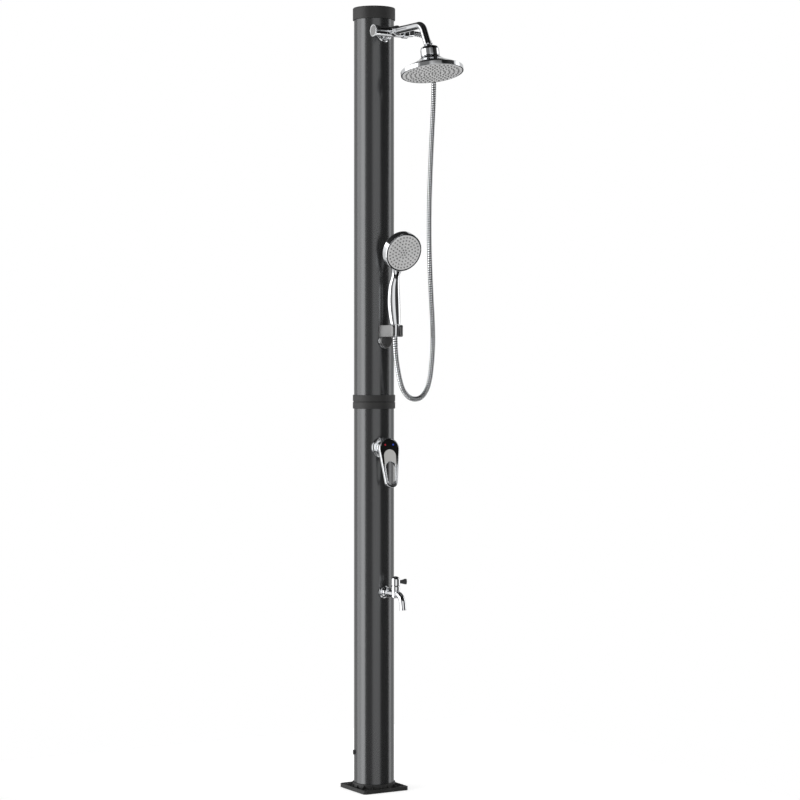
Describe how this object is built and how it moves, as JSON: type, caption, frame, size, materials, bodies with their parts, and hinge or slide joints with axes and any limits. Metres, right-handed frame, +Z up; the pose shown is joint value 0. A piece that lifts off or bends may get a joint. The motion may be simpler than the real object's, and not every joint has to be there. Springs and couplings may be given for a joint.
{
  "type": "outdoor shower post",
  "caption": "Free-standing sun-heated shower post with overhead shower, hand shower on a metal hose, mixer and foot tap.",
  "frame": {"origin": "centre of the foot's underside, on the post's axis, at the middle of its four bolt holes", "axes": "+Z up the post; -Y is the front, where the fittings are; +X is the side that the hose hangs on"},
  "size_m": [0.2223, 0.4666, 2.143],
  "materials": {
    "tube": "satin",
    "black_plastic": "matte",
    "chrome": "polished",
    "chromed_plastic": "polished",
    "spray_face": "satin",
    "nozzle_rubber": "matte",
    "seal_rubber": "matte",
    "brass": "satin",
    "pipe_plastic": "satin",
    "steel": "satin",
    "gloss_black": "gloss",
    "red_mark": "gloss",
    "blue_mark": "gloss"
  },
  "bodies": {
    "post": {"base_plate": "black_plastic", "lower_tube": "tube", "bottom_plug": "black_plastic", "tube_seals": "seal_rubber", "union_sleeve": "black_plastic", "union_ring_lower": "black_plastic", "union_ring_upper": "black_plastic", "upper_tube": "tube", "top_cap": "black_plastic", "drain_bush": "brass", "drain_washer": "seal_rubber", "drain_plug": "black_plastic", "inlet_spigot": "brass", "inlet_filter": "pipe_plastic", "feed_tee": "pipe_plastic", "cold_pipe": "pipe_plastic", "hot_pipe": "pipe_plastic", "mixed_pipe": "pipe_plastic", "pipe_clips": "black_plastic", "back_nuts": "brass", "mixer_block": "brass", "mixer_gasket": "seal_rubber", "mixer_flange": "chrome", "mixer_body": "chrome", "mixer_cartridge": "pipe_plastic", "mixer_cover": "chrome", "diverter_gasket": "seal_rubber", "diverter_flange": "chrome", "diverter_body": "chrome", "shower_arm": "chrome", "arm_nut": "chrome", "arm_ball": "chrome", "hose_nut": "chrome", "hose": "chrome", "holder_base": "chrome", "holder_cradle": "chromed_plastic", "holder_screws": "steel", "tap_flange": "chrome", "tap_body": "chrome", "tap_aerator": "spray_face", "tap_bonnet": "chrome"},
    "mixer_swivel": {"mixer_spindle": "chrome"},
    "lever": {"lever_frame": "chrome", "lever_inset": "gloss_black", "lever_screw": "steel", "hot_mark": "red_mark", "cold_mark": "blue_mark"},
    "diverter": {"diverter_spool": "brass", "diverter_knob": "chromed_plastic"},
    "head_socket": {"head_seat": "pipe_plastic"},
    "head": {"head_nut": "chromed_plastic", "head_shell": "chromed_plastic", "head_face": "spray_face", "head_nozzles": "nozzle_rubber"},
    "tap_knob": {"tap_spindle": "brass", "tap_handle": "chrome"},
    "handset": {"hose_cone": "chrome", "handset_shell": "chromed_plastic", "handset_face": "spray_face", "handset_nozzles": "nozzle_rubber"}
  },
  "joints": [
    {"name": "mixer_turn", "type": "hinge", "parent": "post", "child": "mixer_swivel", "pos_m": [-0.01336, -0.09507, 0.939], "axis": [-0.1392, -0.9903, 0], "range_deg": [-45, 45]},
    {"name": "mixer_lift", "type": "hinge", "parent": "mixer_swivel", "child": "lever", "pos_m": [-0.01336, -0.09507, 0.939], "axis": [-0.9903, 0.1392, 0], "range_deg": [0, 25]},
    {"name": "diverter_turn", "type": "hinge", "parent": "post", "child": "diverter", "pos_m": [0, -0.097, 2.067], "axis": [-1, 0, 0], "range_deg": [0, 90]},
    {"name": "head_tilt", "type": "hinge", "parent": "post", "child": "head_socket", "pos_m": [0, -0.296, 1.99177], "axis": [1, 0, 0], "range_deg": [-38, 6]},
    {"name": "head_turn", "type": "hinge", "parent": "head_socket", "child": "head", "pos_m": [0, -0.296, 1.99177], "axis": [0, 0.2079, 0.9781], "continuous": true},
    {"name": "tap_turn", "type": "hinge", "parent": "post", "child": "tap_knob", "pos_m": [0, -0.118, 0.545], "axis": [0, 0, -1], "range_deg": [0, 90]},
    {"name": "handset_lift", "type": "slide", "parent": "post", "child": "handset", "axis": [0, 0, 1], "range_m": [0, 0.06]}
  ]
}
